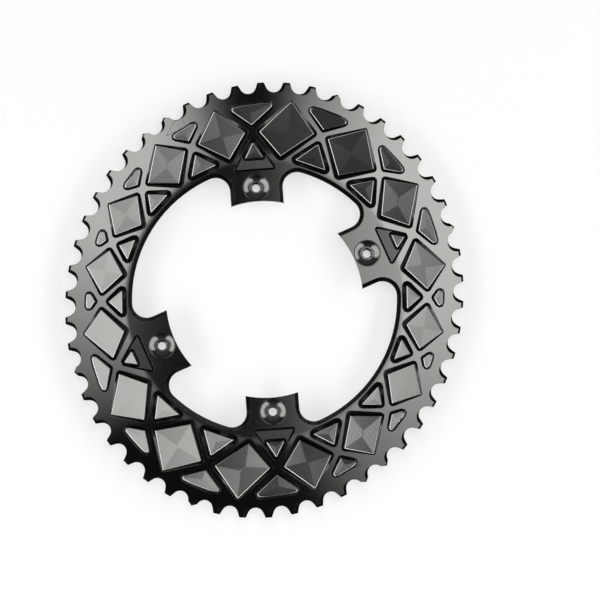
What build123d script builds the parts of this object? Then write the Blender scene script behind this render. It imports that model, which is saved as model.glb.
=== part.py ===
from build123d import *
import math
import os

# Chain and teeth
tooth_count = 50
chain_pitch = 12.7
roller_seat_radius = 4.0
ovality = 1.1075            # long axis of the pitch oval over its short axis
oval_angle = 108.05         # direction of the long axis, from +X
tip_rise = 1.05             # tooth tip above the pitch oval
flank_lean = 25.0           # lean of a tooth's flank from its own axis
tooth_thickness = 2.0
tip_bevel_width = 1.0       # front bevel over the tips
tip_bevel_depth = 0.8
back_bevel = 0.5            # bevel over the tips on the back
flank_bevel_shift = 1.5     # offset of the crescent bevel towards the tooth
flank_bevel_radius = 4.3
flank_bevel_foot = 2.4      # radius at its deep end
flank_bevel_depth = 1.5

# Shift gates, as teeth counted from the long axis, repeated half a turn on
gate_teeth = (-8, -1, 6, 7)
gate_drop = 0.2             # how much lower a gate tooth ends
gate_roof_angle = 35.0      # slope of its two tip facets
relief_gate = 6             # gate tooth beside the shallow relief on the front
relief_depth = 0.12
relief_start = -4.6         # sides of the relief from that tooth, in degrees
relief_outer_end = -2.15
relief_inner_end = 1.95
relief_overrun = 0.6

# Lift ramps on the back, under three of the gates
ramp_gates = (-8, -1, 6)
ramp_start = 2.4            # beyond the gate tooth's axis
ramp_length = 13.0
ramp_width = 6.5
ramp_angle = 3.0
ramp_setback = 5.6          # outer side of a ramp below the pitch oval

# Mounting tabs and their bolts
bolt_circle_diameter = 110.0
bolt_angle = 55.0           # first bolt, from +X, mirrored in both axes
wide_tab = 26.0             # tab width at the first and third bolts
narrow_tab = 22.0
tab_end_margin = 6.8        # tab beyond the bolt's centre
head_radius = 6.35
head_thickness = 2.0
head_gap = 0.15
head_sunk = 0.1
head_rim = 0.35
dish_radius = 3.4
dish_angle = 25.0
socket_width = 5.0          # across the flats
socket_depth = 4.0
bore_radius = 2.0
shoulder_radius = 5.0       # plain part of the bolt, in the tab
shoulder_gap = 0.1
shank_radius = 4.0          # threaded part
shank_reach = 9.0           # behind the tabs

# Inner edge and front face
window_radius = 66.7        # inner edge on the front face
window_bevel = 1.9
window_bevel_angle = 45.0
window_corner = 9.0         # corner where a tab joins the ring, on the front face
face_height = 3.85          # tabs and inner rim, above the back
face_land = 0.3             # flat rim before the face starts to fall
face_foot = 3.9             # end of the falling face, below the tooth gaps

# Truss of slanting ribs, as shares of the short and long arcs between bolts
short_crossings = (0, 1 / 3, 2 / 3)
long_crossings = (0, 0.194, 0.397, 0.594, 0.787)
short_outer_ends = (0.18, 0.5, 0.83)
long_outer_ends = (0.097, 0.281, 0.495, 0.685, 0.878)
short_inner_ends = (0.167, 0.5, 0.85)
long_inner_ends = (0.087, 0.291, 0.495, 0.688, 0.895)
crossing_share = 0.522      # where ribs cross, between the inner edge and the tooth gaps
bolt_crossing_share = 0.462
rib_outer_setback = 0.5     # outer rib ends below the tooth gaps
rib_inner_setback = 0.3     # inner rib ends outside the inner edge
rib_foot = 2.25             # half width of a rib at the pocket floor, inside the crossings
rib_outer_foot = 2.0        # the same, outside them

# Pockets between the ribs
pocket_floor = 1.45         # floor above the back
wall_angle = 40.0           # lean of the pocket walls
floor_corner = 0.7
outer_margin = 4.8          # outer pocket floors below the tooth gaps
outer_corner = 1.6
inner_margin = 2.5          # inner pocket floors outside the inner edge
ledge_depth = 0.7           # shallow step in the pockets beside the bolts
ledge_land = 1.55           # tab between the bolt head and that step
ledge_half_width = 11.5

# Facets that stand for the smallest curves
seat_facets = 8
bevel_sides = 18
corner_facets = 3
rim_facet_angle = 6.0       # one straight piece of an outer pocket's outer side
head_sides = 24
bore_sides = 12

overcut = 0.3               # cutters run this far past the faces that they cut

# Pitch oval whose length holds the chain's teeth
pitch_circle_radius = chain_pitch / (2 * math.sin(math.pi / tooth_count))
oval_mean = 3 * (ovality + 1) - math.sqrt((3 * ovality + 1) * (ovality + 3))
pitch_short = 2 * pitch_circle_radius / oval_mean
pitch_long = ovality * pitch_short

wall_lean = math.tan(math.radians(wall_angle))
bolt_circle_radius = bolt_circle_diameter / 2
tab_reach = bolt_circle_radius - tab_end_margin
head_top = face_height - head_sunk
head_seat = head_top - head_thickness
bolt_angles = (bolt_angle, 180 - bolt_angle, 180 + bolt_angle, 360 - bolt_angle)
tab_widths = (wide_tab, narrow_tab, wide_tab, narrow_tab)


# Flat outlines from straight sides: a side is its outward direction and its distance from the centre
def polar(radius, angle):
    return (radius * math.cos(math.radians(angle)), radius * math.sin(math.radians(angle)))


def side_between(start, end, inset=0.0):
    """Side from one corner to the next, anticlockwise, moved inward."""
    length = math.dist(start, end)
    x, y = (end[1] - start[1]) / length, (start[0] - end[0]) / length
    return (x, y, x * start[0] + y * start[1] - inset)


def moved(sides, distance):
    return [(x, y, reach + distance) for x, y, reach in sides]


def meeting_point(first, second):
    across = first[0] * second[1] - first[1] * second[0]
    x = (first[2] * second[1] - second[2] * first[1]) / across
    y = (first[0] * second[2] - second[0] * first[2]) / across
    return (x, y)


def corners_of(sides):
    """Corners of an outline, each at the end of its side."""
    return [meeting_point(side, sides[(index + 1) % len(sides)]) for index, side in enumerate(sides)]


def eased_corner(corner, side, following, radius):
    """Points along the arc that rounds a corner between two sides."""
    turn = math.acos(side[0] * following[0] + side[1] * following[1])
    bend = radius / math.cos(turn / 2)
    middle_x, middle_y = side[0] + following[0], side[1] + following[1]
    middle = math.hypot(middle_x, middle_y)
    centre = (corner[0] - bend * middle_x / middle, corner[1] - bend * middle_y / middle)
    points = []
    for step in range(corner_facets + 1):
        back = math.sin(turn * (1 - step / corner_facets)) / math.sin(turn)
        ahead = math.sin(turn * step / corner_facets) / math.sin(turn)
        x = centre[0] + radius * (back * side[0] + ahead * following[0])
        y = centre[1] + radius * (back * side[1] + ahead * following[1])
        points.append((x, y))
    return points


def eased_outline(sides, radii):
    """Outline with rounded corners; a corner without a radius stays sharp."""
    points = []
    for index, corner in enumerate(corners_of(sides)):
        if radii[index]:
            points += eased_corner(corner, sides[index], sides[(index + 1) % len(sides)], radii[index])
        else:
            points.append(corner)
    return points


def regular_outline(radius, count):
    return [polar(radius, 360 * (index + 0.5) / count) for index in range(count)]


def stacked(levels):
    """Solid with flat sides through outlines at rising heights."""
    rings = [[(x, y, height) for x, y in outline] for height, outline in levels]
    faces = [Face(Wire.make_polygon(rings[0])), Face(Wire.make_polygon(rings[-1]))]
    for low, high in zip(rings, rings[1:]):
        for index in range(len(low)):
            after = (index + 1) % len(low)
            faces.append(Face(Wire.make_polygon([low[index], low[after], high[after], high[index]])))
    return Solid(Shell(faces))


def through(outline, height):
    """Cutter through the plate, up to a height."""
    return stacked([(-overcut, outline), (height + overcut, outline)])


# The pitch oval
def oval_radius(angle, rise):
    """Distance from the centre of the oval that lies this far outside the pitch oval."""
    long_axis, short_axis = pitch_long + rise, pitch_short + rise
    turn = math.radians(angle - oval_angle)
    return long_axis * short_axis / math.hypot(short_axis * math.cos(turn), long_axis * math.sin(turn))


def valley_radius(angle):
    return oval_radius(angle, -roller_seat_radius)


def oval_side(angle, rise):
    """Straight side that touches an oval in one direction."""
    x, y = polar(oval_radius(angle, rise), angle - oval_angle)
    slope_x, slope_y = x / (pitch_long + rise) ** 2, y / (pitch_short + rise) ** 2
    normal_x, normal_y = polar(1, oval_angle + math.degrees(math.atan2(slope_y, slope_x)))
    point_x, point_y = polar(oval_radius(angle, rise), angle)
    return (normal_x, normal_y, normal_x * point_x + normal_y * point_y)


def pitch_plane(teeth):
    """Plane on the pitch oval, a number of teeth from the long axis, with Y outward and X clockwise."""
    line = Rot(0, 0, oval_angle) * Edge.make_ellipse(pitch_long, pitch_short)
    share = (teeth / tooth_count) % 1
    return Plane(line @ share, x_dir=-(line % share), z_dir=(0, 0, 1))


def gate_planes(gates):
    """Planes at the given gate teeth and half a turn on."""
    return [pitch_plane(gate + turn) for gate in gates for turn in (0, tooth_count / 2)]


def tooth_sides():
    """One side for each tooth, touching the pitch oval."""
    planes = [pitch_plane(tooth) for tooth in range(tooth_count)]
    return [(plane.y_dir.X, plane.y_dir.Y, plane.y_dir.dot(plane.origin)) for plane in planes]


# Teeth
def tooth_gap():
    """Outline of the gap between two teeth: a roller seat with leaning flanks."""
    top = tip_rise + overcut
    facet = (180 - 2 * flank_lean) / seat_facets
    seat = [polar(roller_seat_radius, 180 + flank_lean + facet * step) for step in range(seat_facets + 1)]
    reach = seat[-1][0] + (top - seat[-1][1]) * math.tan(math.radians(flank_lean))
    return seat + [(reach, top), (-reach, top)]


def gate_trim():
    """Area above the roof-shaped tip of a gate tooth."""
    peak = tip_rise - gate_drop
    reach = chain_pitch / 4
    eave = peak - reach * math.tan(math.radians(gate_roof_angle))
    top = tip_rise + overcut
    return [(0, peak), (reach, eave), (reach, top), (-reach, top), (-reach, eave)]


def flank_bevel():
    """Cutter that takes the crescent bevel off the trailing flank of a tooth."""
    slope = (flank_bevel_radius - flank_bevel_foot) / flank_bevel_depth
    low = regular_outline(flank_bevel_foot, bevel_sides)
    high = regular_outline(flank_bevel_radius + overcut * slope, bevel_sides)
    cone = stacked([(tooth_thickness - flank_bevel_depth, low), (tooth_thickness + overcut, high)])
    return Pos(flank_bevel_shift, 0, 0) * cone


def toothed_plate():
    sides = tooth_sides()
    tips = corners_of(moved(sides, tip_rise))
    plate = stacked([
        (0, corners_of(moved(sides, tip_rise - back_bevel))),
        (back_bevel, tips),
        (tooth_thickness - tip_bevel_depth, tips),
        (tooth_thickness, corners_of(moved(sides, tip_rise - tip_bevel_width))),
    ])
    seats = [pitch_plane(tooth + 0.5) for tooth in range(tooth_count)]
    gap = through(tooth_gap(), tooth_thickness)
    trim = through(gate_trim(), tooth_thickness)
    bevel = flank_bevel()
    plate -= [seat * gap for seat in seats]
    plate -= [seat * bevel for seat in seats]
    plate -= [gate * trim for gate in gate_planes(gate_teeth)]
    return plate


# Body
def raised_face():
    """Web that rises from the tooth roots to the inner rim."""
    foot = moved(tooth_sides(), -roller_seat_radius - face_foot)
    rim = [(x, y, window_radius + face_land) for x, y, reach in foot]
    return stacked([(tooth_thickness, corners_of(foot)), (face_height, corners_of(rim))])


def window_area():
    """Openings between the tabs at the back, with rounded outer corners."""
    area = Circle(window_radius - window_bevel)
    for angle, width in zip(bolt_angles, tab_widths):
        tab = Pos(window_radius / 2, 0) * Rectangle(window_radius, width + 2 * window_bevel)
        area -= Rot(0, 0, angle) * tab
    corners = area.vertices().filter_by(lambda corner: Vector(corner).length > bolt_circle_radius)
    return fillet(corners, window_corner - window_bevel)


def window_cuts():
    area = window_area()
    bevel_depth = window_bevel / math.tan(math.radians(window_bevel_angle))
    bevel_foot = Pos(0, 0, face_height - bevel_depth) * area
    bevel = extrude(bevel_foot, bevel_depth + overcut, taper=-window_bevel_angle)
    opening = extrude(Pos(0, 0, -overcut) * (area + Circle(tab_reach)), face_height + 2 * overcut)
    return [opening, bevel]


# Pockets
def around(short_shares, long_shares):
    """Angles at shares of each arc between two bolts, all the way round."""
    angles = []
    for index, start in enumerate(bolt_angles):
        span = (bolt_angles[(index + 1) % len(bolt_angles)] - start) % 360
        shares = long_shares if index % 2 else short_shares
        angles += [start + span * share for share in shares]
    return angles


def crossing_point(angle):
    """Place where two ribs cross, nearer the centre beside a bolt."""
    share = bolt_crossing_share if angle in bolt_angles else crossing_share
    return polar(window_radius + share * (valley_radius(angle) - window_radius), angle)


def outer_end(angle):
    return polar(valley_radius(angle) - rib_outer_setback, angle)


def inner_end(angle):
    return polar(window_radius + rib_inner_setback, angle)


def milled(sides, radii, height=pocket_floor):
    """Pocket with leaning walls, from the sides and corners of its floor."""
    top = face_height + overcut
    spread = (top - height) * wall_lean
    top_radii = [radius + spread if radius else 0 for radius in radii]
    rim = eased_outline(moved(sides, spread), top_radii)
    return stacked([(height, eased_outline(sides, radii)), (top, rim)])


def cell_sides(corners, insets):
    return [side_between(corners[index - 1], corner, insets[index]) for index, corner in enumerate(corners)]


def diamond_pocket(corners):
    """Pocket between two crossings, with its corners from the first crossing outward."""
    insets = [rib_foot, rib_outer_foot, rib_outer_foot, rib_foot]
    return milled(cell_sides(corners, insets), [floor_corner] * len(corners))


def outer_pocket(crossing, angle, ends):
    """Pocket between a crossing and the tooth roots, with a curved outer side."""
    rise = -roller_seat_radius - outer_margin
    right = side_between(crossing, ends[0], rib_outer_foot)
    left = side_between(ends[1], crossing, rib_outer_foot)
    middle = oval_side(angle, rise)
    span = []
    for rib in (right, left):
        x, y = meeting_point(rib, middle)
        offset_angle = math.degrees(math.atan2(y, x)) - angle
        span.append((offset_angle + 180) % 360 - 180)
    facets = 1 + int((span[1] - span[0]) / rim_facet_angle)
    turns = [span[0] + (span[1] - span[0]) * (step + 0.5) / facets for step in range(facets)]
    rim = [oval_side(angle + turn, rise) for turn in turns]
    radii = [outer_corner] + [0] * (facets - 1) + [outer_corner, floor_corner]
    return milled([right] + rim + [left], radii)


def inner_pocket(crossing, angle, ends):
    """Pocket between a crossing and the inner rim."""
    left = side_between(crossing, ends[1], rib_foot)
    right = side_between(ends[0], crossing, rib_foot)
    rim = polar(-1, angle) + (-window_radius - inner_margin,)
    return milled([left, rim, right], [floor_corner] * 3)


def ledge_ends(angle):
    """Corners on the tab of the pocket beside a bolt."""
    base = bolt_circle_radius + head_radius + ledge_land
    half_turn = math.degrees(math.atan2(ledge_half_width, base))
    return [polar(math.hypot(ledge_half_width, base), angle + side * half_turn) for side in (-1, 1)]


def ledge(crossing, ends):
    """Shallow step of the pocket beside a bolt."""
    height = face_height - ledge_depth
    inset = rib_foot - (height - pocket_floor) * wall_lean
    return milled(cell_sides([crossing, ends[1], ends[0]], [inset] * 3), [floor_corner] * 3, height)


def pocket_cuts():
    crossings = around(short_crossings, long_crossings)
    outers = [outer_end(angle) for angle in around(short_outer_ends, long_outer_ends)]
    inners = [inner_end(angle) for angle in around(short_inner_ends, long_inner_ends)]
    cuts = []
    for index, angle in enumerate(crossings):
        crossing = crossing_point(angle)
        following = crossing_point(crossings[(index + 1) % len(crossings)])
        inner_ends = (inners[index - 1], inners[index])
        cuts.append(diamond_pocket([crossing, outers[index], following, inners[index]]))
        cuts.append(outer_pocket(crossing, angle, (outers[index - 1], outers[index])))
        if angle in bolt_angles:
            inner_ends = ledge_ends(angle)
            cuts.append(ledge(crossing, inner_ends))
        cuts.append(inner_pocket(crossing, angle, inner_ends))
    return cuts


def relief_cuts():
    """Shallow facets on the front beside the gates that bring the chain up."""
    cuts = []
    for gate in gate_planes((relief_gate,)):
        turn = math.degrees(math.atan2(gate.origin.Y, gate.origin.X))
        outer = valley_radius(turn) + relief_overrun
        inner = valley_radius(turn) - face_foot
        outline = [
            polar(outer, turn + relief_start),
            polar(outer, turn + relief_outer_end),
            polar(inner, turn + relief_inner_end),
            polar(inner, turn + relief_start),
        ]
        floor = tooth_thickness - relief_depth
        cuts.append(stacked([(floor, outline), (tooth_thickness + overcut, outline)]))
    return cuts


# Holes and the back
def bolt_places():
    return [Pos(*polar(bolt_circle_radius, angle)) for angle in bolt_angles]


def bolt_seat():
    """Hole for a bolt's shoulder with a counterbore for its head."""
    hole = regular_outline(shoulder_radius + shoulder_gap, head_sides)
    seat = regular_outline(head_radius + head_gap, head_sides)
    return [through(hole, face_height), stacked([(head_seat, seat), (face_height + overcut, seat)])]


def back_ramp():
    """Ramp that deepens along the back, away from a gate."""
    block = Box(ramp_length, ramp_width, ramp_length, align=(Align.MIN, Align.MAX, Align.MAX))
    return Pos(ramp_start, -ramp_setback) * Rot(0, -ramp_angle, 0) * block


def chainring():
    body = toothed_plate() + raised_face()
    body -= window_cuts()
    body -= pocket_cuts()
    body -= [place * cut for place in bolt_places() for cut in bolt_seat()]
    body -= [gate * back_ramp() for gate in gate_planes(ramp_gates)]
    body -= relief_cuts()
    return body


# Bolts
def chainring_bolt():
    """Hollow bolt with a dished head, on its own axis."""
    dish_depth = (head_radius - head_rim - dish_radius) * math.tan(math.radians(dish_angle))
    socket_top = head_top - dish_depth
    rim = regular_outline(head_radius, head_sides)
    head = stacked([(head_seat, rim), (head_top, rim)])
    dish_bottom = regular_outline(dish_radius, head_sides)
    dish_slope = (head_radius - head_rim - dish_radius) / dish_depth
    dish_top = regular_outline(head_radius - head_rim + overcut * dish_slope, head_sides)
    plain = regular_outline(shoulder_radius, head_sides)
    shoulder = stacked([(0, plain), (head_seat, plain)])
    shank = Pos(0, 0, -shank_reach / 2) * Cylinder(shank_radius, shank_reach)
    socket = regular_outline(socket_width / math.sqrt(3), 6)
    bore = regular_outline(bore_radius, bore_sides)
    cuts = [
        stacked([(socket_top, dish_bottom), (head_top + overcut, dish_top)]),
        stacked([(socket_top - socket_depth, socket), (head_top, socket)]),
        stacked([(-shank_reach - overcut, bore), (head_top, bore)]),
    ]
    return head + shoulder + shank - cuts


def chainring_bolts():
    return Compound(children=[place * chainring_bolt() for place in bolt_places()])


os.makedirs("parts", exist_ok=True)
export_step(chainring(), "parts/chainring.step")
export_step(chainring_bolts(), "parts/chainring_bolts.step")
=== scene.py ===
import math

import bmesh
import bpy
from mathutils import Matrix, Vector


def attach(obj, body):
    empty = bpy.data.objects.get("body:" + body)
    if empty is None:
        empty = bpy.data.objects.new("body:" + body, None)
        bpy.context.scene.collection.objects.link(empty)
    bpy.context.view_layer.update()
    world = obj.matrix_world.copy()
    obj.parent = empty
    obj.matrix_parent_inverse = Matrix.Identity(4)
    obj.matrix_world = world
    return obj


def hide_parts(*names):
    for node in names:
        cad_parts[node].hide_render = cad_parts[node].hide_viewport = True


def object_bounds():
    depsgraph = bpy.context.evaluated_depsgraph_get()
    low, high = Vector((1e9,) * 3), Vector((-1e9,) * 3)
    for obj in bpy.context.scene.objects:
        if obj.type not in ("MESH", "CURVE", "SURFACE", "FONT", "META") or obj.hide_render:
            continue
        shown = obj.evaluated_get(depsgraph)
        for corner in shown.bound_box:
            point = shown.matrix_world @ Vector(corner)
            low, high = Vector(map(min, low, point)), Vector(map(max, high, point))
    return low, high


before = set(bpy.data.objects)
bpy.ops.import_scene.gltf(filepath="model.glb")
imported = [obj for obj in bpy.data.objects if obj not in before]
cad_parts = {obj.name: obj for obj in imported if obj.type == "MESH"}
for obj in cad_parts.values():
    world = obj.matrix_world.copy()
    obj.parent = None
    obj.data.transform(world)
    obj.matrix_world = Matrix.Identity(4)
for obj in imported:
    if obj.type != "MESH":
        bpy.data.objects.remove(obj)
cad_low, cad_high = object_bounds()
scene = bpy.context.scene
scene.view_settings.view_transform = "Standard"

MM = 0.001

# The ring's solid
RING_HALF = Vector(cad_high[:2])  # half its size each way
TAB_Z = cad_high[2]               # level top of the tabs
FACE_FALL = math.radians(3.47)    # slope of the face, down towards the teeth
FLOOR_Z = 1.45 * MM               # pocket floors
WALL_RISE = math.radians(50)      # slope of the pocket walls
LEDGE_Z = 3.15 * MM               # steps beside the bolts

# What the dressed ring changes in it
SUNK_LEDGE_Z = 2.60 * MM          # the same steps at their full depth
FLOOR_INSET = 0.35 * MM           # how far the floors end inside the feet of those walls
FLOOR_RISE = math.radians(1.0)    # slope of the floors, up towards the teeth
EASE_Z = 0.45 * MM                # drop over which the face goes from level to its full slope

# Marks of the cutter in the pockets
FOOT_RADIUS = 1.00 * MM           # round at the foot of a wall
FOOT_RISE = math.radians(38)      # slope at the top of that round
FOOT_STEPS = 8                    # flats along it
FOOT_BRIGHT_STEPS = 2             # those next to the floor, which the cutter's tip has burnished
PASS_STEP = 0.3 * MM              # half the spacing of the passes on the floor
PASS_RIDGE = 0.0045 * MM          # height of the ridge between them
PASS_LEAN = math.radians(4.7)     # further lean of the passes
PASS_TWIST = 0.10                 # share of that lean that follows each side of a pocket

# How the solid's faces and edges are told apart
LEVEL = 0.999                     # least upward part of a level face's normal
FACE_LEVEL = 0.985                # the same for the ring's face, which falls a little
SAME_HEIGHT = 0.01 * MM
SAME_CORNER = 0.0005 * MM
WALL_DROP = 0.2 * MM              # least height of an edge that runs down a wall
WALL_STEEPNESS = 0.45             # its least height for each length along the ring
RING_CREASE = math.radians(32)    # edges sharper than this stay sharp
TURNED_CREASE = math.radians(28)

# Patterns in the materials, with scales for each metre
CLOUD_SCALE = 45.0
SPECK_SCALE = 900.0
GRAIN_SCALE = 5000.0
STEEL_SCALE = 1500.0
FINE_DETAIL = 3.0
NOISE_RANGE = (0.3, 0.7)          # where most of a noise lies
EDGE_SAMPLES = 6
ACROSS_LINES = 0.25               # part of a turn from the lines to the way the gloss spreads


# Materials
def shader(name):
    """New material, with its nodes and its main shader."""
    material = bpy.data.materials.new(name)
    material.use_nodes = True
    return material, material.node_tree, material.node_tree.nodes["Principled BSDF"]


def add(tree, kind, **values):
    """New node with these settings."""
    node = tree.nodes.new(kind)
    for key, value in values.items():
        setattr(node, key, value)
    return node


def noise(tree, coordinates, scale, detail=2.0):
    """Soft random pattern."""
    node = add(tree, "ShaderNodeTexNoise")
    node.inputs["Scale"].default_value = scale
    node.inputs["Detail"].default_value = detail
    tree.links.new(coordinates, node.inputs["Vector"])
    return node.outputs["Fac"]


def mapped(tree, value, before, after=(0, 1)):
    """Value carried from one range to another, and held at its ends."""
    node = add(tree, "ShaderNodeMapRange")
    node.inputs["From Min"].default_value, node.inputs["From Max"].default_value = before
    node.inputs["To Min"].default_value, node.inputs["To Max"].default_value = after
    tree.links.new(value, node.inputs["Value"])
    return node.outputs["Result"]


def combined(tree, operation, first, second):
    """One value made of two."""
    node = add(tree, "ShaderNodeMath", operation=operation)
    tree.links.new(first, node.inputs[0])
    tree.links.new(second, node.inputs[1])
    return node.outputs[0]


def shaded(tree, value, dark, light):
    """Colour between two, by a noise."""
    node = add(tree, "ShaderNodeValToRGB")
    for stop, position, colour in zip(node.color_ramp.elements, NOISE_RANGE, (dark, light)):
        stop.position = position
        stop.color = (*colour, 1)
    tree.links.new(value, node.inputs["Fac"])
    return node.outputs["Color"]


def eased_normal(tree, radius):
    """Normal that rounds off the sharp edges."""
    node = add(tree, "ShaderNodeBevel", samples=EDGE_SAMPLES)
    node.inputs["Radius"].default_value = radius
    return node.outputs["Normal"]


def bumped(tree, height, distance, normal):
    """Normal that follows a fine relief."""
    node = add(tree, "ShaderNodeBump")
    node.inputs["Distance"].default_value = distance
    tree.links.new(height, node.inputs["Height"])
    tree.links.new(normal, node.inputs["Normal"])
    return node.outputs["Normal"]


def turned_lines(tree, coordinates, scale):
    """Fine circles about the axis, as a lathe leaves them."""
    flat = add(tree, "ShaderNodeVectorMath", operation="MULTIPLY")
    flat.inputs[1].default_value = (1, 1, 0)
    tree.links.new(coordinates, flat.inputs[0])
    length = add(tree, "ShaderNodeVectorMath", operation="LENGTH")
    tree.links.new(flat.outputs["Vector"], length.inputs[0])
    node = add(tree, "ShaderNodeTexNoise", noise_dimensions="1D")
    node.inputs["Scale"].default_value = scale
    node.inputs["Detail"].default_value = FINE_DETAIL
    tree.links.new(length.outputs["Value"], node.inputs["W"])
    return node.outputs["Fac"]


def anodised(name, dark, light, rough, edge, lines=None, anisotropy=0.0, grain=0.0, ior=1.9):
    """Black anodised aluminium: clear oxide over a dyed layer."""
    material, tree, bsdf = shader(name)
    coordinates = add(tree, "ShaderNodeTexCoord").outputs["Object"]
    cloud = noise(tree, coordinates, CLOUD_SCALE, FINE_DETAIL)
    tree.links.new(shaded(tree, cloud, dark, light), bsdf.inputs["Base Color"])
    speck = noise(tree, coordinates, SPECK_SCALE)
    tree.links.new(mapped(tree, speck, NOISE_RANGE, rough), bsdf.inputs["Roughness"])
    bsdf.inputs["IOR"].default_value = ior
    normal = eased_normal(tree, edge)
    if grain:
        normal = bumped(tree, noise(tree, coordinates, GRAIN_SCALE), grain, normal)
    if lines:
        scale, depth = lines
        normal = bumped(tree, turned_lines(tree, coordinates, scale), depth, normal)
    if anisotropy:
        bsdf.inputs["Anisotropic"].default_value = anisotropy
        bsdf.inputs["Anisotropic Rotation"].default_value = ACROSS_LINES
        tangent = add(tree, "ShaderNodeTangent", direction_type="RADIAL", axis="Z")
        tree.links.new(tangent.outputs["Tangent"], bsdf.inputs["Tangent"])
    tree.links.new(normal, bsdf.inputs["Normal"])
    return material


def ground_steel(name, dark, light, rough, edge):
    """Bare ground steel."""
    material, tree, bsdf = shader(name)
    coordinates = add(tree, "ShaderNodeTexCoord").outputs["Object"]
    cloud = noise(tree, coordinates, STEEL_SCALE)
    tree.links.new(shaded(tree, cloud, dark, light), bsdf.inputs["Base Color"])
    tree.links.new(mapped(tree, cloud, NOISE_RANGE, rough), bsdf.inputs["Roughness"])
    bsdf.inputs["Metallic"].default_value = 1.0
    tree.links.new(eased_normal(tree, edge), bsdf.inputs["Normal"])
    return material


turned_face = anodised(
    "ring_face", dark=(0.0022, 0.0022, 0.0024), light=(0.0036, 0.0036, 0.0039), rough=(0.055, 0.075),
    edge=0.22 * MM, lines=(3500.0, 0.0004 * MM), anisotropy=0.45)
milled_wall = anodised(
    "ring_walls", dark=(0.0012, 0.0012, 0.0013), light=(0.0020, 0.0020, 0.0021), rough=(0.13, 0.19),
    edge=0.06 * MM, grain=0.002 * MM, ior=1.5)
milled_ledge = anodised(
    "ring_ledges", dark=(0.0022, 0.0022, 0.0022), light=(0.0040, 0.0040, 0.0039), rough=(0.14, 0.20),
    edge=0.05 * MM, grain=0.002 * MM, ior=1.55)
milled_floor = anodised(
    "ring_pockets", dark=(0.0026, 0.0026, 0.0026), light=(0.0042, 0.0042, 0.0040), rough=(0.06, 0.09),
    edge=0.05 * MM)
burnished_foot = anodised(
    "ring_pocket_feet", dark=(0.0020, 0.0020, 0.0020), light=(0.0032, 0.0032, 0.0031),
    rough=(0.07, 0.10), edge=0.05 * MM, ior=4.2)
bolt_black = anodised(
    "bolt_black", dark=(0.0022, 0.0022, 0.0024), light=(0.0036, 0.0036, 0.0039), rough=(0.12, 0.17),
    edge=0.12 * MM, lines=(6000.0, 0.0005 * MM), anisotropy=0.4)
pin_steel = ground_steel(
    "pin_steel", dark=(0.48, 0.48, 0.49), light=(0.58, 0.58, 0.59), rough=(0.22, 0.34), edge=0.1 * MM)

ring_materials = [turned_face, milled_wall, milled_ledge]
floor_materials = [milled_floor, milled_wall, burnished_foot]


# Pieces
def new_piece(name, mesh, materials):
    """Piece of the part, made of a new mesh."""
    piece = bpy.data.objects.new(name, mesh)
    scene.collection.objects.link(piece)
    for material in materials:
        mesh.materials.append(material)
    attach(piece, "root")
    return piece


def smooth(mesh, crease):
    """Shade a mesh as round, apart from its sharp edges."""
    for polygon in mesh.polygons:
        polygon.use_smooth = True
    mesh.set_sharp_from_angle(angle=crease)


def finished(work, name):
    """Mesh made of what was worked on."""
    mesh = bpy.data.meshes.new(name)
    work.to_mesh(mesh)
    work.free()
    return mesh


# Ring, with its pocket floors taken out
def is_level(face, height):
    """Whether a face lies level at this height."""
    return face.normal.z > LEVEL and abs(face.calc_center_median().z - height) < SAME_HEIGHT


def outline_of(faces):
    """Outer corners of a patch of flat faces, anticlockwise."""
    patch = set(faces)
    after = {}
    for face in faces:
        for loop in face.loops:
            if not any(other in patch for other in loop.edge.link_faces if other is not face):
                after[loop.vert] = loop.link_loop_next.vert
    start = next(iter(after))
    corners = [start]
    while after[corners[-1]] is not start:
        corners.append(after[corners[-1]])
    return corners


def patches(faces):
    """Groups of faces that join along edges."""
    left = set(faces)
    groups = []
    while left:
        group, edge = [], [left.pop()]
        while edge:
            face = edge.pop()
            group.append(face)
            for side in face.edges:
                for other in side.link_faces:
                    if other in left:
                        left.discard(other)
                        edge.append(other)
        groups.append(group)
    return groups


def sides_of(corners):
    """Outward direction and distance of each side of an outline."""
    sides = []
    for start, end in zip(corners, corners[1:] + corners[:1]):
        step = (end - start).normalized()
        out = Vector((step.y, -step.x))
        sides.append((out, out.dot(start)))
    return sides


def mitred(sides, distance):
    """Corners of the outline that has these sides, moved inward by a distance."""
    corners = []
    for (first, reach), (second, other) in zip(sides[-1:] + sides[:-1], sides):
        across = first.x * second.y - first.y * second.x
        near, far = reach - distance, other - distance
        corners.append(Vector((
            (near * second.y - far * first.y) / across,
            (first.x * far - second.x * near) / across)))
    return corners


def leaning_floor(feet):
    """Bring the feet of a pocket's walls in to a floor that rises outward, and tell how it lies."""
    flat = [foot.co.xy for foot in feet]
    middle = sum(flat, Vector((0, 0))) / len(flat)
    outward = middle.normalized()
    rise = math.tan(FLOOR_RISE)
    shift = rise / math.tan(WALL_RISE)

    def height(point):
        return FLOOR_Z + rise * outward.dot(point - middle)

    sides = []
    for out, reach in sides_of(flat):
        tilted = out - shift * outward
        reach = (reach - shift * outward.dot(middle)) / tilted.length
        sides.append((tilted.normalized(), reach - FLOOR_INSET))
    corners = mitred(sides, 0)
    for foot, corner in zip(feet, corners):
        foot.co = (*corner, height(corner))
    return corners, sides, height, outward


def sink_ledges(work):
    """Take the steps beside the bolts down along their walls."""
    ledges = [face for face in work.faces if is_level(face, LEDGE_Z)]
    places = {}
    for corner in {corner for face in ledges for corner in face.verts}:
        runs = []
        for edge in corner.link_edges:
            run = edge.other_vert(corner).co - corner.co
            if abs(run.z) > max(WALL_DROP, WALL_STEEPNESS * run.xy.length):
                runs.append((run.z < 0, edge.calc_face_angle(0), run.copy()))
        if runs:
            run = max(runs, key=lambda option: option[:2])[2]
            places[corner] = corner.co + run * ((SUNK_LEDGE_Z - LEDGE_Z) / run.z)
    for corner, spot in places.items():
        corner.co = spot
    work.normal_update()


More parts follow.
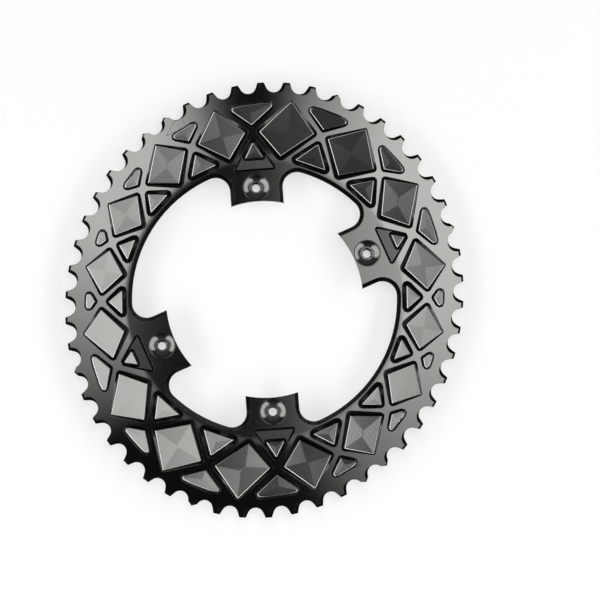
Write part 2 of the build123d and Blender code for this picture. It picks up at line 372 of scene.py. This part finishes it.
def finish_of(face):
    """Material that a face of the ring has."""
    if is_level(face, SUNK_LEDGE_Z):
        return milled_ledge
    return turned_face if abs(face.normal.z) > FACE_LEVEL else milled_wall


def even_face(mesh):
    """Let the face shade as one smooth slope, level on the tabs."""
    normals = [corner.vector.copy() for corner in mesh.corner_normals]
    turned = ring_materials.index(turned_face)
    for polygon in mesh.polygons:
        if polygon.material_index != turned or polygon.normal.z < math.cos(2 * FACE_FALL):
            continue
        for index in polygon.loop_indices:
            spot = mesh.vertices[mesh.loops[index].vertex_index].co
            outward = Vector((spot.x / RING_HALF.x ** 2, spot.y / RING_HALF.y ** 2)).normalized()
            fall = math.tan(FACE_FALL) * min(1, max(0, TAB_Z - spot.z) / EASE_Z)
            normals[index] = Vector((*(outward * fall), 1)).normalized()
    mesh.normals_split_custom_set(normals)


def ring_body(source):
    """The machined ring, and how its pocket floors lie."""
    work = bmesh.new()
    corners = [work.verts.new(vertex.co) for vertex in source.data.vertices]
    for polygon in source.data.polygons:
        work.faces.new([corners[index] for index in polygon.vertices])
    bmesh.ops.remove_doubles(work, verts=work.verts, dist=SAME_CORNER)
    work.normal_update()
    sink_ledges(work)
    floors = [face for face in work.faces if is_level(face, FLOOR_Z)]
    sunk = [leaning_floor(outline_of(group)) for group in patches(floors)]
    for face in work.faces:
        face.material_index = ring_materials.index(finish_of(face))
    bmesh.ops.delete(work, geom=floors, context="FACES")
    mesh = finished(work, "ring")
    smooth(mesh, RING_CREASE)
    even_face(mesh)
    return mesh, sunk


ring_mesh, sunk_floors = ring_body(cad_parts["chainring"])
ring = new_piece("ring", ring_mesh, ring_materials)
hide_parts("chainring")


# Pocket floors, with the cutter's passes round each one
def clipped(corners, out, reach, tag):
    """Part of an outline behind a line; each corner carries the side that follows it."""
    kept = []
    for (point, side), (following, _) in zip(corners, corners[1:] + corners[:1]):
        here, there = out.dot(point) - reach, out.dot(following) - reach
        if here <= 0:
            kept.append((point, side))
        if here * there < 0:
            cut = point.lerp(following, here / (here - there))
            kept.append((cut, tag if here <= 0 else side))
    return kept


def inset(corners, sides, distance):
    """Outline moved inward, as corners with the side that follows each."""
    result = [(corner, index) for index, corner in enumerate(corners)]
    for index, (out, reach) in enumerate(sides):
        result = clipped(result, out, reach - distance, index)
        if len(result) < 3:
            return []
    return result


def add_foot(work, sides, height):
    """The cutter's round between the walls and the floor."""
    loops = []
    for step in range(FOOT_STEPS + 1):
        angle = FOOT_RISE * (1 - step / FOOT_STEPS)
        above = FOOT_RADIUS * (1 - math.cos(angle))
        shift = FOOT_RADIUS * (math.tan(FOOT_RISE / 2) - math.sin(angle))
        corners = mitred(sides, shift)
        loops.append([work.verts.new((*corner, height(corner) + above)) for corner in corners])
    for step, (outer, inner) in enumerate(zip(loops, loops[1:])):
        finish = milled_wall if step < FOOT_STEPS - FOOT_BRIGHT_STEPS else burnished_foot
        for index in range(len(outer)):
            after = (index + 1) % len(outer)
            face = work.faces.new((outer[index], outer[after], inner[after], inner[index]))
            face.smooth = True
            face.material_index = floor_materials.index(finish)


def add_passes(work, corners, sides, height):
    """Passes with a low ridge between them, in to the middle of the floor."""
    start = FOOT_RADIUS * math.tan(FOOT_RISE / 2)
    count = 0
    made = []
    loop = inset(corners, sides, start)
    while loop:
        ridge = PASS_RIDGE if count % 2 else 0
        inner = inset(corners, sides, start + (count + 1) * PASS_STEP)
        if not inner:
            middle = [work.verts.new((*point, height(point) + ridge)) for point, _ in loop]
            made.append((work.faces.new(middle), loop[0][1]))
            break
        ends = {}
        for (point, side), (following, _) in zip(inner, inner[1:] + inner[:1]):
            ends[side] = (point, following)
        for (point, side), (following, _) in zip(loop, loop[1:] + loop[:1]):
            if side in ends:
                far = ends[side][::-1]
            else:
                before = max((other for other in ends if other < side), default=max(ends))
                far = (ends[before][1],)
            quad = [(*spot, height(spot) + ridge) for spot in (point, following)]
            quad += [(*spot, height(spot) + PASS_RIDGE - ridge) for spot in far]
            made.append((work.faces.new([work.verts.new(corner) for corner in quad]), side))
        loop = inner
        count += 1
    return made


def floor_mesh(sunk):
    """Floors and feet of all the pockets, with passes that shade as leaning inward."""
    work = bmesh.new()
    leans = {}
    for corners, sides, height, outward in sunk:
        add_foot(work, sides, height)
        for face, side in add_passes(work, corners, sides, height):
            across = sides[side][0]
            twist = across * outward.dot(across) * 2 * PASS_TWIST
            leans[face] = (outward * (1 - PASS_TWIST) + twist) * math.tan(PASS_LEAN)
    work.faces.index_update()
    leans = {face.index: lean for face, lean in leans.items()}
    mesh = finished(work, "pocket_floors")
    normals = [corner.vector.copy() for corner in mesh.corner_normals]
    for index, lean in leans.items():
        polygon = mesh.polygons[index]
        tilted = (polygon.normal - Vector((*lean, 0))).normalized()
        for corner in polygon.loop_indices:
            normals[corner] = tilted
    mesh.normals_split_custom_set(normals)
    return mesh


new_piece("pocket_floors", floor_mesh(sunk_floors), floor_materials)


# Turned pieces
def lathe(profile, count):
    """Closed skin of turned or six-sided loops, from (radius, height, flats) in millimetres."""
    work = bmesh.new()
    loops = []
    for radius, height, flats in profile:
        loop = []
        for index in range(count):
            angle = 2 * math.pi * index / count
            reach = radius
            if flats:
                sector = 2 * math.pi / flats
                reach = radius / math.cos((angle % sector) - sector / 2)
            spot = Vector((reach * math.cos(angle), reach * math.sin(angle), height))
            loop.append(work.verts.new(spot * MM))
        loops.append(loop)
    for low, high in zip(loops, loops[1:] + loops[:1]):
        for index in range(count):
            after = (index + 1) % count
            work.faces.new((low[index], low[after], high[after], high[index]))
    bmesh.ops.recalc_face_normals(work, faces=work.faces)
    mesh = finished(work, "turned")
    smooth(mesh, TURNED_CREASE)
    return mesh


# Bolts, each a hollow shank with a shoulder and a dished head, in one outline round its section
BOLT_CIRCLE_RADIUS = 55 * MM
BOLT_ANGLES = (55, 125, 235, 305)
BOLT_COUNT = 96                   # corners round a bolt
HEXAGON = 6
shank = [(2.00, -8.85, 0), (2.15, -9.00, 0), (3.40, -9.00, 0), (4.00, -8.40, 0), (4.00, 0.00, 0)]
shoulder = [(5.00, 0.00, 0), (5.00, 1.75, 0)]
head = [(6.22, 1.75, 0), (6.35, 1.88, 0), (6.35, 3.60, 0)]
rim = [(6.31, 3.69, 0), (6.21, 3.74, 0), (6.10, 3.75, 0), (6.00, 3.71, 0)]
dish = [(3.42, 2.56, 0), (3.30, 2.46, 0), (3.22, 2.34, 0)]
socket = [(2.50, 2.34, HEXAGON), (2.50, -1.46, HEXAGON), (2.00, -1.75, 0)]

bolt_mesh = lathe(shank + shoulder + head + rim + dish + socket, BOLT_COUNT)
for index, angle in enumerate(BOLT_ANGLES):
    bolt = new_piece(f"bolt_{index + 1}", bolt_mesh.copy(), [bolt_black])
    turn = math.radians(angle)
    bolt.location = (BOLT_CIRCLE_RADIUS * math.cos(turn), BOLT_CIRCLE_RADIUS * math.sin(turn), 0)
    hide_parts("chainring_bolts")

# Shift pins on the back, under three of the shift gates and under those opposite
TOOTH_COUNT = 50
CHAIN_PITCH = 12.7 * MM
OVALITY = 1.1075                  # long axis of the pitch oval over its short axis
OVAL_ANGLE = math.radians(108.05)  # direction of the long axis
OVAL_STEPS = 10000                # steps along the oval to a gate
PIN_GATES = (-8, -1, 6)           # teeth counted from the long axis
PIN_SETBACK = 8.6 * MM            # inside the pitch oval
PIN_COUNT = 48                    # corners round a pin
pin_foot = [(0.02, -1.50, 0), (1.25, -1.50, 0), (1.45, -1.46, 0), (1.80, -1.12, 0)]
pin_shank = [(1.80, 0.80, 0), (0.02, 0.80, 0)]

pitch_radius = CHAIN_PITCH / (2 * math.sin(math.pi / TOOTH_COUNT))
oval_mean = 3 * (OVALITY + 1) - math.sqrt((3 * OVALITY + 1) * (OVALITY + 3))
pitch_short = 2 * pitch_radius / oval_mean
pitch_long = OVALITY * pitch_short


def pin_place(teeth):
    """Place of a pin, a number of teeth along the pitch oval from its long axis."""
    step = 2 * math.pi * pitch_radius * teeth / TOOTH_COUNT / OVAL_STEPS
    angle = 0
    for _ in range(OVAL_STEPS):
        angle += step / math.hypot(pitch_long * math.sin(angle), pitch_short * math.cos(angle))
    gate = Vector((pitch_long * math.cos(angle), pitch_short * math.sin(angle)))
    out = Vector((math.cos(angle) / pitch_long, math.sin(angle) / pitch_short)).normalized()
    return Matrix.Rotation(OVAL_ANGLE, 2) @ (gate - out * PIN_SETBACK)


pin_mesh = lathe(pin_foot + pin_shank, PIN_COUNT)
for index, gate in enumerate(PIN_GATES):
    spot = pin_place(gate)
    for half, centre in enumerate((spot, -spot)):
        pin = new_piece(f"shift_pin_{2 * index + half + 1}", pin_mesh.copy(), [pin_steel])
        pin.location = (*centre, 0)


# Ground, white all round and keeping the shadow
GROUND_GAP = 0.02 * MM            # under the ends of the bolts
GROUND_REACH = 4.0
GROUND_COLOUR = (0.429, 0.42, 0.445)
GROUND_GLOW = 0.62


def pale_ground():
    """White that glows for the camera and in reflections, and is clear from below."""
    material = bpy.data.materials.new("floor_white")
    material.use_nodes = True
    tree = material.node_tree
    tree.nodes.clear()
    diffuse = add(tree, "ShaderNodeBsdfDiffuse")
    diffuse.inputs["Color"].default_value = (*GROUND_COLOUR, 1)
    path = add(tree, "ShaderNodeLightPath").outputs
    glow = add(tree, "ShaderNodeEmission")
    glow.inputs["Color"].default_value = (GROUND_GLOW, GROUND_GLOW, GROUND_GLOW, 1)
    seen = combined(tree, "MAXIMUM", path["Is Camera Ray"], path["Is Glossy Ray"])
    tree.links.new(seen, glow.inputs["Strength"])
    both = add(tree, "ShaderNodeAddShader")
    tree.links.new(diffuse.outputs[0], both.inputs[0])
    tree.links.new(glow.outputs[0], both.inputs[1])
    clear = add(tree, "ShaderNodeBsdfTransparent")
    under = add(tree, "ShaderNodeNewGeometry")
    mix = add(tree, "ShaderNodeMixShader")
    tree.links.new(under.outputs["Backfacing"], mix.inputs[0])
    tree.links.new(both.outputs[0], mix.inputs[1])
    tree.links.new(clear.outputs[0], mix.inputs[2])
    output = add(tree, "ShaderNodeOutputMaterial")
    tree.links.new(mix.outputs[0], output.inputs["Surface"])
    return material


floor_data = bpy.data.meshes.new("floor")
floor_corners = [(-1, -1, 0), (1, -1, 0), (1, 1, 0), (-1, 1, 0)]
floor_data.from_pydata([Vector(corner) * GROUND_REACH for corner in floor_corners], [], [(0, 1, 2, 3)])
floor_data.materials.append(pale_ground())
floor = bpy.data.objects.new("floor", floor_data)
floor.location.z = cad_low[2] - GROUND_GAP
scene.collection.objects.link(floor)

# Light on the walls of the room, as upward part of a direction and level
ROOM_LEVELS = ((0.26, 0.02), (0.40, 0.28), (0.55, 0.28), (0.62, 0.05), (0.93, 0.012))


def studio_world():
    """Dim room with a pale band round its walls, on white for the camera."""
    world = bpy.data.worlds.new("studio")
    world.use_nodes = True
    tree = world.node_tree
    direction = add(tree, "ShaderNodeTexCoord").outputs["Generated"]
    parts = add(tree, "ShaderNodeSeparateXYZ")
    tree.links.new(direction, parts.inputs[0])
    walls = add(tree, "ShaderNodeValToRGB")
    stops = walls.color_ramp.elements
    for height, _ in ROOM_LEVELS[1:-1]:
        stops.new(height)
    for stop, (height, level) in zip(stops, ROOM_LEVELS):
        stop.position = height
        stop.color = (level, level, level, 1)
    tree.links.new(parts.outputs["Z"], walls.inputs["Fac"])
    path = add(tree, "ShaderNodeLightPath")
    white = add(tree, "ShaderNodeBackground")
    white.inputs["Color"].default_value = (1, 1, 1, 1)
    mix = add(tree, "ShaderNodeMixShader")
    room = tree.nodes["Background"]
    tree.links.new(walls.outputs["Color"], room.inputs["Color"])
    tree.links.new(path.outputs["Is Camera Ray"], mix.inputs[0])
    tree.links.new(room.outputs[0], mix.inputs[1])
    tree.links.new(white.outputs[0], mix.inputs[2])
    tree.links.new(mix.outputs[0], tree.nodes["World Output"].inputs["Surface"])
    return world


scene.world = studio_world()

# Right and up in the picture, on the ring
TURN = math.radians(30.77)
RIGHT = Vector((math.cos(TURN), math.sin(TURN), 0))
UP = Vector((-math.sin(TURN), math.cos(TURN), 0))

# Lamps, in metres
LAMP_TINT = (0.98, 1.0, 0.945)
LAMP_HEIGHT = 2.2
LAMP_CORE = 0.28                  # share of an overhead lamp's radius at full strength
RING_LAMP_DROP = 0.02             # keeps the ring of light clear of the lamps above it
RING_LAMP_INNER = (0.50, 0.70)    # shares of its radius between which it starts
RING_LAMP_OUTER = (1.00, 0.85)    # shares between which it ends
SIDE_LAMP_SIZE = (2.2, 0.45)
SIDE_LAMP_ACROSS = 0.97
SIDE_LAMP_ALONG = -0.22
SIDE_LAMP_HEIGHT = 0.90


def place(across, along, height):
    """Point this far to the right of, up from and above the ring's centre."""
    return RIGHT * across + UP * along + Vector((0, 0, height))


def softbox(name, centre, size, radiance):
    """Oval lamp with its middle and size in metres, facing down."""
    lamp = bpy.data.lights.new(name, "AREA")
    lamp.color = LAMP_TINT
    lamp.shape = "ELLIPSE"
    lamp.size, lamp.size_y = size
    area = math.pi / 4 * size[0] * size[1]
    lamp.energy = radiance * math.pi * area
    box = bpy.data.objects.new(name, lamp)
    scene.collection.objects.link(box)
    box.location = centre
    box.rotation_euler = (0, 0, TURN)
    box.visible_camera = False
    return box


def shaped(box):
    """Nodes that set a lamp's strength over its face, and the place on it."""
    box.data.use_nodes = True
    tree = box.data.node_tree
    return tree, add(tree, "ShaderNodeNewGeometry").outputs["Position"]


def overhead(name, across, along, radii, radiance, fade):
    """Oval softbox over the ring that fades towards its edge, and across it between two places."""
    centre = place(across, along, LAMP_HEIGHT)
    tree, position = shaped(softbox(name, centre, [2 * radius for radius in radii], radiance))
    offset = add(tree, "ShaderNodeMapping", vector_type="TEXTURE")
    offset.inputs["Location"].default_value = centre
    offset.inputs["Rotation"].default_value = (0, 0, TURN)
    offset.inputs["Scale"].default_value = (*radii, 1)
    tree.links.new(position, offset.inputs["Vector"])
    length = add(tree, "ShaderNodeVectorMath", operation="LENGTH")
    tree.links.new(offset.outputs["Vector"], length.inputs[0])
    sideways = add(tree, "ShaderNodeVectorMath", operation="DOT_PRODUCT")
    sideways.inputs[1].default_value = RIGHT
    tree.links.new(position, sideways.inputs[0])
    edge = mapped(tree, length.outputs["Value"], (1.0, LAMP_CORE))
    middle = mapped(tree, sideways.outputs["Value"], fade)
    tree.links.new(combined(tree, "MULTIPLY", edge, middle), tree.nodes["Emission"].inputs["Strength"])


def overhead_ring(name, across, along, radius, radiance):
    """Faint ring of light just under the softboxes, fading towards both of its edges."""
    centre = place(across, along, LAMP_HEIGHT - RING_LAMP_DROP)
    tree, position = shaped(softbox(name, centre, (2 * radius, 2 * radius), radiance))
    offset = add(tree, "ShaderNodeVectorMath", operation="DISTANCE")
    offset.inputs[1].default_value = centre
    tree.links.new(position, offset.inputs[0])
    inner = mapped(tree, offset.outputs["Value"], [radius * share for share in RING_LAMP_INNER])
    outer = mapped(tree, offset.outputs["Value"], [radius * share for share in RING_LAMP_OUTER])
    tree.links.new(combined(tree, "MULTIPLY", inner, outer), tree.nodes["Emission"].inputs["Strength"])


def aimed(name, centre, size, radiance):
    """Softbox at the side, facing the ring."""
    box = softbox(name, centre, size, radiance)
    box.rotation_mode = "QUATERNION"
    box.rotation_quaternion = (-centre).to_track_quat("-Z", "Y")


overhead("overhead_right", 0.42, 0.30, radii=(0.48, 0.74), radiance=5.0, fade=(0.03, 0.13))
overhead("overhead_left", -0.32, 0.41, radii=(0.31, 0.60), radiance=4.7, fade=(-0.05, -0.15))
overhead_ring("overhead_middle", 0.04, 0.12, radius=0.31, radiance=0.60)
side_right = place(SIDE_LAMP_ACROSS, SIDE_LAMP_ALONG, SIDE_LAMP_HEIGHT)
side_left = place(-SIDE_LAMP_ACROSS, SIDE_LAMP_ALONG, SIDE_LAMP_HEIGHT)
aimed("side_right", side_right, SIDE_LAMP_SIZE, radiance=4.2)
aimed("side_left", side_left, SIDE_LAMP_SIZE, radiance=4.4)

# Camera, in metres
CAMERA_PLACE = Vector((0.0224, -0.1100, 2.002))
AIM_POINT = Vector((0.0150, 0.0086, 0.002))
CAMERA_LENS = 245.7

camera_data = bpy.data.cameras.new("camera")
camera_data.lens = CAMERA_LENS
camera = bpy.data.objects.new("camera", camera_data)
scene.collection.objects.link(camera)
camera.location = CAMERA_PLACE
back = (CAMERA_PLACE - AIM_POINT).normalized()
side = (RIGHT - back * RIGHT.dot(back)).normalized()
top = back.cross(side)
camera.rotation_mode = "QUATERNION"
camera.rotation_quaternion = Matrix((side, top, back)).transposed().to_quaternion()
scene.camera = camera
